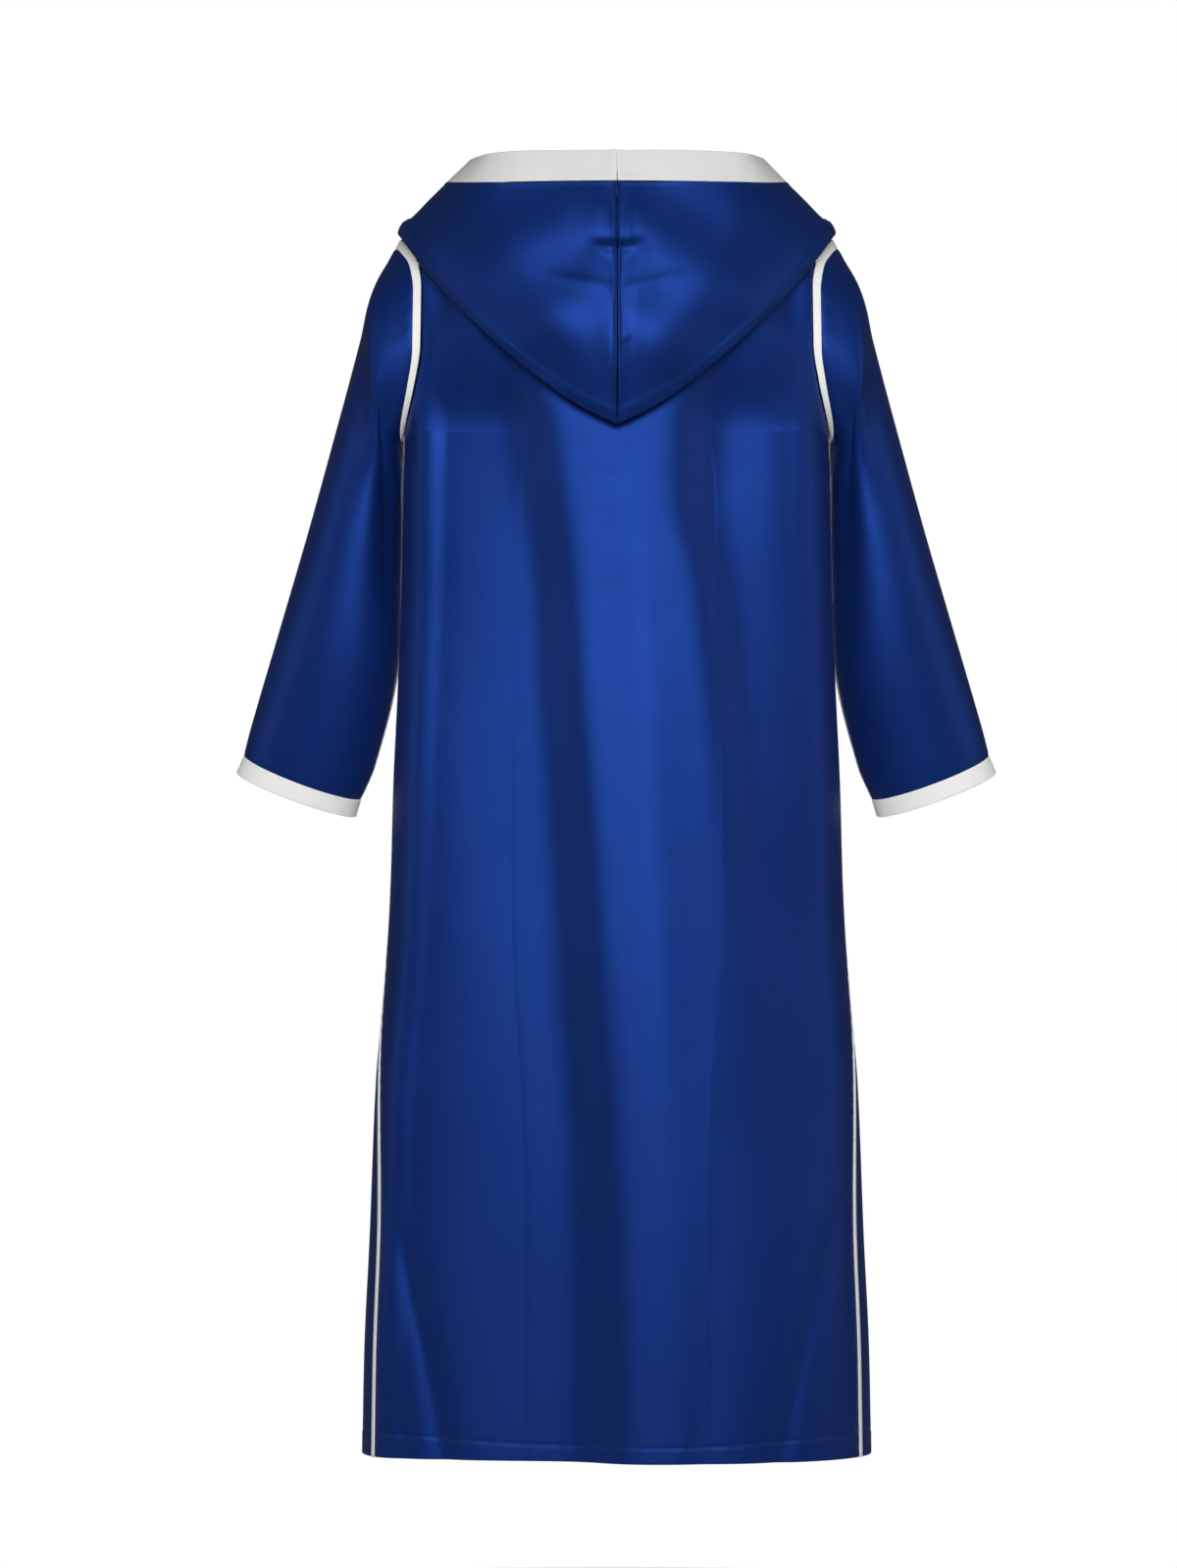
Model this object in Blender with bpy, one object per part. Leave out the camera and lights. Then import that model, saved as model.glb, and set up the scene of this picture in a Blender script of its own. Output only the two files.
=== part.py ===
"""Hooded djellaba robe, filled out with no wearer: fourteen cut pieces, each a thin wall of cloth.

Axes: +X is the wearer's right, +Y the way the wearer faces, +Z up. The origin lies midway between the
two high points of the shoulders, where the robe hangs on its wearer. Sizes are in metres, angles in
degrees. The torso's angle is 0 at the middle of the back, 90 at the side and 180 at the middle of the front.
"""

import math

import bmesh
import bpy
import numpy as np

# --- driving sizes -------------------------------------------------------------------------------
WALL = 0.002  # cloth with its turned seam allowances
GAP = 0.0003  # between two pieces at a seam
ROUNDNESS = 2.4  # exponent of the torso's rounded sections, 2 would be an ellipse

ARMPIT = -0.270
SHOULDER_TIP = (0.238, -0.056)  # x, z of the outer end of the shoulder seam
SHOULDER_CREST = 0.005  # height of the shoulders' arch over the middle of the neck
SHOULDER_BEND = 2.5  # exponent of that arch
SHOULDER_ROUND = 0.120  # height over which back and front round over to the shoulder seam
NECK_HALF_WIDTH = 0.090
NECK_BACK_DEPTH = 0.062
V_POINT = -0.125  # height of the bottom of the V neck

ARMHOLE_BAND = 0.010
HOOD_BAND = 0.035
SIDE_PIPING = 0.006
PIPING_STAND = 0.0006  # how far the piping stands out of the side seam
FOLD_FADE = 0.050  # the long folds fade out over this distance from the side seam

YOKE_ROWS = 10  # rows of facets above the armpit, also the facets of half an armhole
NECK_COLUMNS = 4
SHOULDER_COLUMNS = 7
HOOD_CORNER = 0.56  # the hood's section that hangs nearest its corner
HOOD_COLUMNS = 8  # on each side of the corner
HOOD_STATIONS = [HOOD_CORNER * i / HOOD_COLUMNS for i in range(HOOD_COLUMNS)]
HOOD_STATIONS += [1 - (1 - HOOD_CORNER) * i / HOOD_COLUMNS for i in range(HOOD_COLUMNS, -1, -1)]
HOOD_SEAM_GAP = 0.02  # between hood and band, in steps of the hood's section
HOOD_CLEARANCE = 0.008  # between the hood's lower layer and the robe's back
HOOD_FOLD_RADIUS = 0.006
NECK_STAND = 0.0014  # from the robe's neck edge to the hood's
NECK_BACK_SHARE = 0.60  # share of the hood's sections that stand on the back half of the neck
UNDER_SHARES = (0.12, 0.26, 0.42, 0.60, 0.80)  # control points of the hood's lower layer
UPPER_SWELL = ((0.35, 0.9), (0.7, 0.6))  # place and share of the billow of its upper layer's points
V_STAND = 0.0025  # how far the hood's front edges stay from the middle at the V
SHOULDERS_MIDDLE = np.array((0.0, 0.0, -0.150))

BLUE = (0.010, 0.045, 0.230, 1.0)
IVORY = (0.840, 0.835, 0.810, 1.0)


def table(columns, *rows):
    """A short table: its columns by name, one row for each section or fold."""
    return dict(zip(columns.split(), np.array(rows, dtype=float).T))


TORSO = table(
    "height half_width back front seam_angle",
    (-1.390, 0.2800, 0.160, 0.166, 70.7),
    (-1.282, 0.2780, 0.156, 0.162, 71.0),
    (-1.152, 0.2720, 0.150, 0.156, 72.0),
    (-0.980, 0.2650, 0.142, 0.148, 79.0),
    (-0.870, 0.2550, 0.137, 0.143, 90.0),
    (-0.764, 0.2490, 0.133, 0.139, 94.0),
    (-0.656, 0.2460, 0.130, 0.136, 95.0),
    (-0.548, 0.2410, 0.127, 0.131, 95.0),
    (-0.440, 0.2370, 0.124, 0.127, 94.0),
    (-0.330, 0.2350, 0.124, 0.125, 91.0),
    (-0.270, 0.2335, 0.125, 0.125, 90.0),
    (-0.200, 0.2410, 0.125, 0.125, 90.0),
    (-0.150, 0.2480, 0.125, 0.125, 90.0),
    (0.010, 0.2520, 0.125, 0.125, 90.0),
)
ARMHOLE = table(  # the body's edge at the armhole
    "height across",
    (-0.270, 0.2335),
    (-0.259, 0.2310),
    (-0.215, 0.2205),
    (-0.176, 0.2145),
    (-0.111, 0.2140),
    (-0.081, 0.2190),
    (-0.064, 0.2300),
    (-0.056, 0.2380),
)
FOLDS = table(  # side: -1 on the back, 1 on the front; sink is how far the cloth falls in
    "side top bottom x_top x_bottom reach sink",
    (-1, -0.20, -1.60, -0.075, -0.014, 0.034, 0.0180),
    (-1, -0.22, -1.08, 0.096, 0.175, 0.036, 0.0130),
    (-1, -0.30, -1.70, 0.010, 0.055, 0.050, -0.0040),
    (-1, -0.85, -1.60, 0.150, 0.200, 0.030, 0.0040),
    (-1, -0.95, -1.60, -0.160, -0.205, 0.028, 0.0045),
    (1, -0.24, -1.60, 0.082, 0.030, 0.036, 0.0150),
    (1, -0.26, -1.15, -0.090, -0.150, 0.034, 0.0115),
    (1, -0.90, -1.70, -0.060, -0.110, 0.030, 0.0050),
)
SLEEVE = table(  # outer and inner edge of each ring, its half depth and how far forward it lies
    "outer_x outer_z inner_x inner_z half_depth forward",
    (0.2610, -0.100, 0.2405, -0.292, 0.0740, 0.010),
    (0.2800, -0.163, 0.2375, -0.318, 0.0720, 0.024),
    (0.3070, -0.254, 0.2370, -0.355, 0.0690, 0.038),
    (0.3410, -0.375, 0.2380, -0.420, 0.0660, 0.044),
    (0.3730, -0.483, 0.2410, -0.530, 0.0600, 0.052),
    (0.4055, -0.591, 0.2670, -0.634, 0.0500, 0.068),
    (0.4140, -0.623, 0.2835, -0.672, 0.0460, 0.074),
)
CUFF_END = (0.4220, -0.6415, 0.2890, -0.6905, 0.0450, 0.0775)
HOOD = table(  # one row for each section from the middle of the back round to the V
    "station crest_x crest_y crest_z fold_x fold_y fold_z rim_x rim_y rim_z billow",
    (0.00, 0.000, -0.080, 0.014, 0.000, -0.150, -0.265, 0.000, -0.124, 0.032, 0.030),
    (0.12, 0.028, -0.078, 0.014, 0.044, -0.148, -0.243, 0.044, -0.122, 0.032, 0.030),
    (0.28, 0.060, -0.066, 0.015, 0.112, -0.138, -0.192, 0.097, -0.114, 0.032, 0.026),
    (0.44, 0.086, -0.043, 0.018, 0.181, -0.108, -0.125, 0.136, -0.096, 0.031, 0.016),
    (0.56, 0.099, -0.018, 0.020, 0.219, -0.070, -0.079, 0.152, -0.072, 0.029, 0.006),
    (0.64, 0.102, 0.004, 0.018, 0.2390, -0.025, -0.051, 0.161, -0.040, 0.027, 0.001),
    (0.74, 0.096, 0.030, 0.008, 0.222, 0.044, -0.062, 0.162, 0.010, 0.017, 0.004),
    (0.86, 0.060, 0.088, -0.034, 0.150, 0.132, -0.124, 0.110, 0.112, -0.034, 0.008),
    (1.00, 0.010, 0.138, -0.120, 0.040, 0.148, -0.180, 0.006, 0.162, -0.112, 0.004),
)


def read(rows, column, where):
    """One column of a table at `where`, on a smooth curve that doesn't overshoot its rows."""
    keys, values = rows[next(iter(rows))], rows[column]
    span = np.diff(keys)
    slope = np.diff(values) / span
    tangent = np.concatenate(([slope[0]], np.zeros(len(keys) - 2), [slope[-1]]))
    for i in range(1, len(keys) - 1):
        if slope[i - 1] * slope[i] > 0:
            tangent[i] = 2 * slope[i - 1] * slope[i] / (slope[i - 1] + slope[i])
    where = min(max(where, keys[0]), keys[-1])
    i = min(int(np.searchsorted(keys, where, side="right")) - 1, len(span) - 1)
    u = (where - keys[i]) / span[i]
    bend_in, bend_out = u * (1 - u) ** 2, -u * u * (1 - u)
    blend = u * u * (3 - 2 * u)
    drift = span[i] * (tangent[i] * bend_in + tangent[i + 1] * bend_out)
    return float(values[i] * (1 - blend) + values[i + 1] * blend + drift)


def unit(vector):
    return vector / np.linalg.norm(vector)


def ease(u):
    u = min(max(u, 0.0), 1.0)
    return u * u * (3 - 2 * u)


# --- the torso -----------------------------------------------------------------------------------
def shoulder_height(x):
    tip_x, tip_z = SHOULDER_TIP
    return SHOULDER_CREST - (SHOULDER_CREST - tip_z) * abs(x / tip_x) ** SHOULDER_BEND


def shoulder_rounding(x, z):
    """Share of the full depth that is left at height z, as back and front round over the shoulder."""
    rise = (z - shoulder_height(x) + SHOULDER_ROUND) / SHOULDER_ROUND
    return math.sqrt(max(0.0, 1 - max(0.0, rise) ** 2))


def armhole_angle(z):
    """The angle from the middle of the back, or of the front, to the armhole's edge at height z."""
    share = read(ARMHOLE, "across", z) / read(TORSO, "half_width", z)
    return math.degrees(math.asin(min(1.0, share ** (ROUNDNESS / 2))))


def fold_depth(side, x, z):
    """How far the long folds sink the cloth in at this place, fading out at the side seams."""
    sink = 0.0
    for i, fold_side in enumerate(FOLDS["side"]):
        if fold_side != side:
            continue
        top, bottom = FOLDS["top"][i], FOLDS["bottom"][i]
        along = (top - z) / (top - bottom)
        middle = FOLDS["x_top"][i] + (FOLDS["x_bottom"][i] - FOLDS["x_top"][i]) * along
        ends = ease(along * 5) * ease((1 - along) * 5)
        sink += FOLDS["sink"][i] * ends * math.exp(-(((x - middle) / FOLDS["reach"][i]) ** 2))
    return sink * ease((read(TORSO, "half_width", z) - abs(x)) / FOLD_FADE)


def torso(angle, z):
    """The outer face of the robe's body. A negative angle is on the wearer's left."""
    half_width = read(TORSO, "half_width", z)
    turn = math.radians(abs(angle))
    side = -1 if abs(angle) <= 90 else 1
    x = math.copysign(half_width * math.sin(turn) ** (2 / ROUNDNESS), angle)
    depth = read(TORSO, "back" if side < 0 else "front", z)
    y = side * depth * abs(math.cos(turn)) ** (2 / ROUNDNESS) * shoulder_rounding(x, z)
    return np.array((x, y - side * fold_depth(side, x, z), z))


def panel_end(side, z):
    """The angle at which the back (-1) or front (1) panel ends at height z, its gap included."""
    if z <= ARMPIT:
        seam, inset = read(TORSO, "seam_angle", z), SIDE_PIPING / 2 + 1.5 * GAP
    else:
        seam, inset = armhole_angle(z), GAP
        seam = seam if side < 0 else 180 - seam
    pace = np.linalg.norm(torso(seam + 1, z) - torso(seam - 1, z)) / 2
    return seam + side * inset / pace


def panel_angle(side, share, z):
    """The angle of the column that lies `share` of the way from the panel's middle to its end."""
    end = panel_end(side, z)
    return share * end if side < 0 else 180 - share * (180 - end)


def in_neck(side, point):
    """Whether a point of a panel lies past its neck edge, or past the shoulder seam."""
    x, y, z = point
    if abs(x) >= NECK_HALF_WIDTH or abs(y) < GAP / 2:
        return abs(y) < GAP / 2
    if side < 0:
        return (x / NECK_HALF_WIDTH) ** 2 + (y / NECK_BACK_DEPTH) ** 2 < 1
    return z > neck_front_height(x)


def neck_front_height(x):
    return V_POINT * (1 - abs(x) / NECK_HALF_WIDTH) ** 0.9


def panel_top(side, share):
    """Height where a column of the panel reaches the shoulder seam or the neck's edge."""
    low, high = ARMPIT, SHOULDER_CREST
    for _ in range(40):
        middle = (low + high) / 2
        if in_neck(side, torso(panel_angle(side, share, middle), middle)):
            high = middle
        else:
            low = middle
    return low


def neck_share(side):
    """The column that ends at the high point of the shoulder."""
    low, high = 0.0, 1.0
    for _ in range(40):
        middle = (low + high) / 2
        top = panel_top(side, middle)
        if abs(torso(panel_angle(side, middle, top), top)[0]) < NECK_HALF_WIDTH:
            low = middle
        else:
            high = middle
    return (low + high) / 2


def torso_normal(point_at, share, z):
    """Outward normal of a panel, by small steps along it."""
    across = point_at(share + 0.01, z) - point_at(share - 0.01, z)
    up = point_at(share, z) - point_at(share, z - 0.002)
    return unit(np.cross(across, up))


def armhole_normal(point):
    """Outward direction shared by the body's and the sleeve's edges all round the armhole."""
    x, y, z = point
    middle = (ARMPIT + SHOULDER_TIP[1]) / 2
    return unit(np.array((math.copysign(0.035, x), y, z - middle)))


def panel(name, side):
    """The back (-1) or front (1) panel: rows up from the hem, then rows up round the armhole."""
    corner = neck_share(side)
    half = [corner * i / NECK_COLUMNS for i in range(NECK_COLUMNS)]
    half += [corner + (1 - corner) * i / SHOULDER_COLUMNS for i in range(SHOULDER_COLUMNS + 1)]
    shares = [-share for share in reversed(half[1:])] + half
    below = [z for z in TORSO["height"] if z <= ARMPIT]

    def point_at(share, z):
        angle = panel_angle(side, abs(share), z)
        return torso(math.copysign(angle, share), z)

    rows, inner_rows = [], []
    tops = {share: panel_top(side, abs(share)) for share in shares}
    for row in range(len(below) + YOKE_ROWS):
        outer, inner = [], []
        for share in shares:
            if row < len(below):
                z = below[row]
            else:
                climb = (1 - math.cos(math.pi * (row - len(below) + 1) / YOKE_ROWS)) / 2
                z = ARMPIT + (tops[share] - ARMPIT) * climb
            point = point_at(share, z)
            normal = torso_normal(point_at, share, z) * -side
            if abs(share) == 1 and row >= len(below):
                normal = armhole_normal(point)
            elif abs(point[1]) < 2 * GAP:
                normal = unit(normal * np.array((1, 0, 1)))
            outer.append(point)
            inner.append(point - normal * WALL)
        rows.append(outer)
        inner_rows.append(inner)
    return wall(name, rows, inner_rows, BLUE)


# --- walls ---------------------------------------------------------------------------------------
def finish_mesh(name, mesh, colour):
    bmesh.ops.recalc_face_normals(mesh, faces=mesh.faces)
    if mesh.calc_volume(signed=True) < 0:
        bmesh.ops.reverse_faces(mesh, faces=mesh.faces)
    data = bpy.data.meshes.new(name)
    mesh.to_mesh(data)
    mesh.free()
    data.shade_smooth()
    data.set_sharp_from_angle(angle=math.radians(40))
    data.materials.append(cloth(colour))
    piece = bpy.data.objects.new(name, data)
    bpy.context.scene.collection.objects.link(piece)
    return piece


def wall(name, outer_rows, inner_rows, colour, closed=False):
    """One closed body between two grids of points. A closed one is a tube, open at both ends."""
    mesh = bmesh.new()
    layers = [[[mesh.verts.new(p) for p in row] for row in rows] for rows in (outer_rows, inner_rows)]
    height, width = len(outer_rows), len(outer_rows[0])
    columns = width if closed else width - 1
    for layer in layers:
        for j in range(height - 1):
            for i in range(columns):
                k = (i + 1) % width
                mesh.faces.new((layer[j][i], layer[j][k], layer[j + 1][k], layer[j + 1][i]))
    outer, inner = layers
    for j in (0, height - 1):
        for i in range(columns):
            k = (i + 1) % width
            mesh.faces.new((outer[j][i], outer[j][k], inner[j][k], inner[j][i]))
    if not closed:
        for i in (0, width - 1):
            for j in range(height - 1):
                mesh.faces.new((outer[j][i], outer[j + 1][i], inner[j + 1][i], inner[j][i]))
    return finish_mesh(name, mesh, colour)


def cloth(colour):
    name = "ivory_trim" if colour is IVORY else "blue_cloth"
    material = bpy.data.materials.get(name) or bpy.data.materials.new(name)
    material.use_nodes = True
    shader = material.node_tree.nodes["Principled BSDF"]
    shader.inputs["Base Color"].default_value = colour
    shader.inputs["Roughness"].default_value = 0.55
    shader.inputs["Metallic"].default_value = 0.0
    return material


def mirrored(rows, hand):
    """The same rows for the wearer's right (1) or left (-1) hand."""
    return [[point * np.array((hand, 1, 1)) for point in row] for row in rows]


# --- sleeves, their bands and the side piping ----------------------------------------------------
def armhole_point(turn):
    """The body's edge at the right armhole: 0 is the shoulder, 90 the back, 180 the armpit."""
    side = -1 if turn <= 180 else 1
    z = ARMPIT + (panel_top(side, 1.0) - ARMPIT) * (1 + math.cos(math.radians(turn))) / 2
    z = max(z, ARMPIT + 1e-9)
    angle = armhole_angle(z)
    return torso(angle if side < 0 else 180 - angle, z)


def sleeve_ring(outer_x, outer_z, inner_x, inner_z, half_depth, forward, lean):
    """A ring of the sleeve, leaning forward with its axis."""
    outer, inner = np.array((outer_x, 0, outer_z)), np.array((inner_x, 0, inner_z))
    middle = (outer + inner) / 2 + np.array((0, forward, 0))
    across = (outer - inner) / 2
    down = unit(np.cross(across, (0, 1, 0)))
    down = down if down[2] < 0 else -down
    back = unit(np.array((0, -1, 0)) + lean * down) * half_depth

    def at(turn):
        turn = math.radians(turn)
        return middle + across * math.cos(turn) + back * math.sin(turn)

    return at


def sleeve_rings():
    rows = [tuple(values) for values in zip(*SLEEVE.values())] + [CUFF_END]
    leans = []
    for above, below in zip([rows[0]] + rows[:-2], rows[1:-1] + [rows[-1]]):
        drop = math.hypot(above[0] - below[0], above[1] - below[1]) or 1.0
        leans.append((below[5] - above[5]) / drop)
    leans.append(leans[-1])
    return [sleeve_ring(*row, lean) for row, lean in zip(rows, leans)]


def sleeve_pieces(hand, name):
    turns = [360 * i / (2 * YOKE_ROWS) for i in range(2 * YOKE_ROWS)]
    rings = [[ring(turn) for turn in turns] for ring in sleeve_rings()]
    edge = [armhole_point(turn) for turn in turns]
    outward = [unit(first - point) for first, point in zip(rings[0], edge)]

    def moved(distance):
        clearance = np.array((2 * GAP, 0, 0))
        return [point + clearance + along * distance for point, along in zip(edge, outward)]

    def inward(row, above, below):
        """Inner points of a row of the tube, from its slopes round and along."""
        points = []
        for i, point in enumerate(row):
            around = row[(i + 1) % len(row)] - row[i - 1]
            normal = unit(np.cross(around, below[i] - above[i]))
            points.append(point - normal * WALL)
        return points

    def piece(piece_name, rows, colour, at_armhole=False):
        inner = []
        for j, row in enumerate(rows):
            above, below = rows[max(j - 1, 0)], rows[min(j + 1, len(rows) - 1)]
            inner.append(inward(row, above, below))
        if at_armhole:
            inner[0] = [point - armhole_normal(point) * WALL for point in rows[0]]
        wall(piece_name, mirrored(rows, hand), mirrored(inner, hand), colour, closed=True)

    def between(upper, lower, share):
        return [a + (b - a) * share for a, b in zip(upper, lower)]

    def near(upper, lower, distance):
        """The row that lies this far above `lower`."""
        return [b + unit(a - b) * distance for a, b in zip(upper, lower)]

    piece("armhole_band_" + name, [moved(0), moved(ARMHOLE_BAND)], IVORY, at_armhole=True)
    rows = [moved(ARMHOLE_BAND + 2 * GAP)]
    for upper, lower in zip(rings[:-2], rings[1:-1]):
        rows += [upper, between(upper, lower, 0.5)]
    rows.append(near(rows[-1], rings[-2], GAP))
    piece("sleeve_" + name, rows, BLUE)
    piece("cuff_band_" + name, [rings[-2], rings[-1]], IVORY)


def side_piping(hand, name):
    """The ribbed piping caught in the side seam, from the hem to just under the armhole band."""
    rows, inner = [], []
    heights = [z for z in TORSO["height"] if z < ARMPIT] + [ARMPIT - SIDE_PIPING / 2]
    for z in heights:
        seam = read(TORSO, "seam_angle", z)
        pace = np.linalg.norm(torso(seam + 1, z) - torso(seam - 1, z)) / 2
        half = (SIDE_PIPING / 2) / pace
        row = [torso(seam + half * share, z) for share in (-1, 0, 1)]
        around = row[2] - row[0]
        up = torso(seam, z) - torso(seam, z - 0.002)
        normal = unit(np.cross(around, up))
        rows.append([point + normal * PIPING_STAND for point in row])
        inner.append([point - normal * (WALL - PIPING_STAND) for point in row])
    wall("side_piping_" + name, mirrored(rows, hand), mirrored(inner, hand), IVORY)


# --- the hood ------------------------------------------------------------------------------------
def full_depth(side, x, z):
    """Depth of the back or front at this place, before it rounds over the shoulder."""
    across = max(0.0, 1 - abs(x / read(TORSO, "half_width", z)) ** ROUNDNESS) ** (1 / ROUNDNESS)
    return read(TORSO, "back" if side < 0 else "front", z) * across


def neck_edge(station):
    """The robe's neck edge, from the middle of the back (0) round to the V (1)."""
    if station <= NECK_BACK_SHARE:
        turn = math.radians(90 * station / NECK_BACK_SHARE)
        x = NECK_HALF_WIDTH * math.sin(turn)
        y = -NECK_BACK_DEPTH * math.cos(turn)
        fall = math.sqrt(max(0.0, 1 - (y / full_depth(-1, x, 0.0)) ** 2))
        return np.array((x, y, shoulder_height(x) - SHOULDER_ROUND * (1 - fall)))
    down = (station - NECK_BACK_SHARE) / (1 - NECK_BACK_SHARE)
    x = NECK_HALF_WIDTH * (1 - down * down)
    z = neck_front_height(x)
    return np.array((x, full_depth(1, x, z) * shoulder_rounding(x, z), z))


def clear_of_torso(point):
    """The point, moved straight out of the robe's back, front or shoulder where it lies too close."""
    x, y, z = point
    base = shoulder_height(x) - SHOULDER_ROUND
    rise = max(0.0, z - base) / (SHOULDER_ROUND + HOOD_CLEARANCE)
    closeness = math.hypot(y / (full_depth(y, x, z) + HOOD_CLEARANCE), rise)
    if closeness >= 1:
        return point
    return np.array((x, y / closeness, base + (z - base) / closeness if rise else z))


def hood_controls(station):
    """Control points of the hood's section: neck, crest, lower layer, fold, upper layer, rim."""
    crest, fold, rim = (
        np.array([read(HOOD, f"{name}_{axis}", station) for axis in "xyz"])
        for name in ("crest", "fold", "rim")
    )
    neck = neck_edge(station)
    neck = neck + unit(neck - SHOULDERS_MIDDLE) * NECK_STAND
    neck[0] = max(neck[0], GAP / 2 + V_STAND * ease((station - 0.8) / 0.2))
    middle = (fold + rim) / 2
    out = middle - SHOULDERS_MIDDLE
    out = unit(out if station > 0 else out * np.array((0, 1, 1)))
    billow = read(HOOD, "billow", station) * out
    crest, fold = clear_of_torso(crest), clear_of_torso(fold)
    under = [clear_of_torso(crest + (fold - crest) * share) for share in UNDER_SHARES]
    band_seam = rim + unit(middle + billow - rim) * HOOD_BAND
    upper = [fold + (band_seam - fold) * share + billow * swell for share, swell in UPPER_SWELL]
    turn = HOOD_FOLD_RADIUS * ease((np.linalg.norm(rim - fold) - 0.04) / 0.06)
    before = clear_of_torso(fold + unit(under[-1] - fold) * turn * 1.6)
    after = fold + unit(upper[0] - fold) * turn * 1.6 + out * turn * 0.6
    return [neck, crest, *under, before, fold, after, *upper, band_seam, rim]


def through(points, position):
    """A smooth curve through the points; `position` counts them from 0."""
    i = min(max(int(position), 0), len(points) - 2)
    u = position - i
    a, b = points[i], points[i + 1]
    before = points[i - 1] if i else a
    after = points[i + 2] if i + 2 < len(points) else b
    near, far = np.linalg.norm(b - a), 1e-9
    leave = (b - before) * near / (near + np.linalg.norm(a - before) + far)
    arrive = (after - a) * near / (near + np.linalg.norm(after - b) + far)
    blend = u * u * (3 - 2 * u)
    return a * (1 - blend) + b * blend + leave * u * (1 - u) ** 2 - arrive * u * u * (1 - u)


def hood_pieces(hand, name):
    stations = HOOD_STATIONS
    controls = {station: hood_controls(station) for station in stations}
    last = len(controls[0.0]) - 1
    seam = last - 1

    def grid(positions):
        outer = [[through(controls[station], p) for station in stations] for p in positions]
        inner = []
        for j, p in enumerate(positions):
            row = []
            for i, station in enumerate(stations):
                before, after = stations[max(i - 1, 0)], stations[min(i + 1, len(stations) - 1)]
                around = through(controls[after], p) - through(controls[before], p)
                back, ahead = max(p - 0.05, 0), min(p + 0.05, last)
                along = through(controls[station], ahead) - through(controls[station], back)
                normal = np.cross(along, around)
                normal = unit(normal * np.array((0, 1, 1)) if station == 0 else normal)
                row.append(outer[j][i] - normal * WALL)
            inner.append(row)
        return outer, inner

    def shifted(rows):
        """Half a gap from the middle, so that the two halves don't touch at the centre seam."""
        return [[np.array((max(p[0], GAP / 2), p[1], p[2])) for p in row] for row in rows]

    hood = [0, 0.5, 1, 2, 3, 4, 5, 6, 7, 8, 9, 9.5, 10, 10.5, 11, 11.5, seam - HOOD_SEAM_GAP]
    for label, positions, colour in (
        ("hood_", hood, BLUE),
        ("hood_band_", [seam, (seam + last) / 2, last], IVORY),
    ):
        outer, inner = grid(positions)
        wall(label + name, mirrored(shifted(outer), hand), mirrored(shifted(inner), hand), colour)


for old in list(bpy.data.objects):
    bpy.data.objects.remove(old, do_unlink=True)

panel("back_panel", -1)
panel("front_panel", 1)
for hand, name in ((1, "right"), (-1, "left")):
    sleeve_pieces(hand, name)
    side_piping(hand, name)
    hood_pieces(hand, name)
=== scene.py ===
import math

import bpy
import numpy as np
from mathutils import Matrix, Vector


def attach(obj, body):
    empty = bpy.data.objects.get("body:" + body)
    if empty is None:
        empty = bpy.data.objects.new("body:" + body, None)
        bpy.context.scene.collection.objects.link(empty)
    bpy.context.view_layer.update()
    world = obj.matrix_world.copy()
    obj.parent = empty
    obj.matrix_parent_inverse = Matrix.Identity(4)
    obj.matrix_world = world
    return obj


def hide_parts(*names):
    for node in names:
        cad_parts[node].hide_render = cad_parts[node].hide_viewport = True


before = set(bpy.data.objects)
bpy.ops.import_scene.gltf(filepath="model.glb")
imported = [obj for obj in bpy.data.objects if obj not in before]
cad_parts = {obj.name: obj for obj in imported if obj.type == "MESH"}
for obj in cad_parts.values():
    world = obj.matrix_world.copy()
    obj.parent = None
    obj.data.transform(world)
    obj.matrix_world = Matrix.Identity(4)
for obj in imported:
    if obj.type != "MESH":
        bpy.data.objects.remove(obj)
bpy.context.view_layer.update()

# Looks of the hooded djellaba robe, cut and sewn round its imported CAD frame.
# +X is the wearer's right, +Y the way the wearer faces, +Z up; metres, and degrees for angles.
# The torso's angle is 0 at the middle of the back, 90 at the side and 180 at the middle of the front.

# --- sizes ---------------------------------------------------------------------------------------
CLOTH = 0.0014  # a piece of cloth with its lining or turned edge
EDGE_ROUND = 0.35 * CLOTH  # how far the cloth's cut edge bulges out
GAP = 0.0003  # between two pieces at a seam
TURN_IN = 0.0022  # how near to a seam the cloth starts to roll in

ROUNDNESS = 2.4  # of the body's sections, where 2 is an ellipse
ARMPIT = -0.270
SHOULDER_TIP = (0.238, -0.056)
SHOULDER_CREST = 0.005
SHOULDER_BEND = 2.5  # of the shoulder seam, where 1 is straight
SHOULDER_ROUND = 0.120  # how far below its top the shoulder starts to turn over
NECK_HALF_WIDTH = 0.090
NECK_BACK_DEPTH = 0.062
V_POINT = -0.125
V_BOW = 0.9  # of the V neck's edges, where 1 is straight
HEM_STITCHING = 0.0175  # above the hem, at the middle of a panel
HEM_RISE = 0.008  # of the hem's stitching, towards the side seams
HEM_PITCH, HEM_RIPPLE = 0.021, 0.00030
SEAM_PITCH, SEAM_PUCKER = 0.017, 0.00035

FOLD_FADE = 0.050  # from the side, where folds and slack die out
FOLD_END = 0.030  # below its last row, where a fold has died out
SOFT_START = 0.035  # how gradually the cloth comes back out past a drop
STEP_STEEPNESS = 1.7  # of a drop

ARMHOLE_BAND = 0.010
ARMHOLE_PITCH, ARMHOLE_PUCKER = 0.018, 0.0004
HOOD_BAND = 0.035
SIDE_PIPING = 0.006
PIPING_STAND = 0.0006  # out of the side seam
PIPING_CROWN = (-0.0004, 0.0001, 0.0001, -0.0001, 0.0001, 0.0001, -0.0004)

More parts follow.
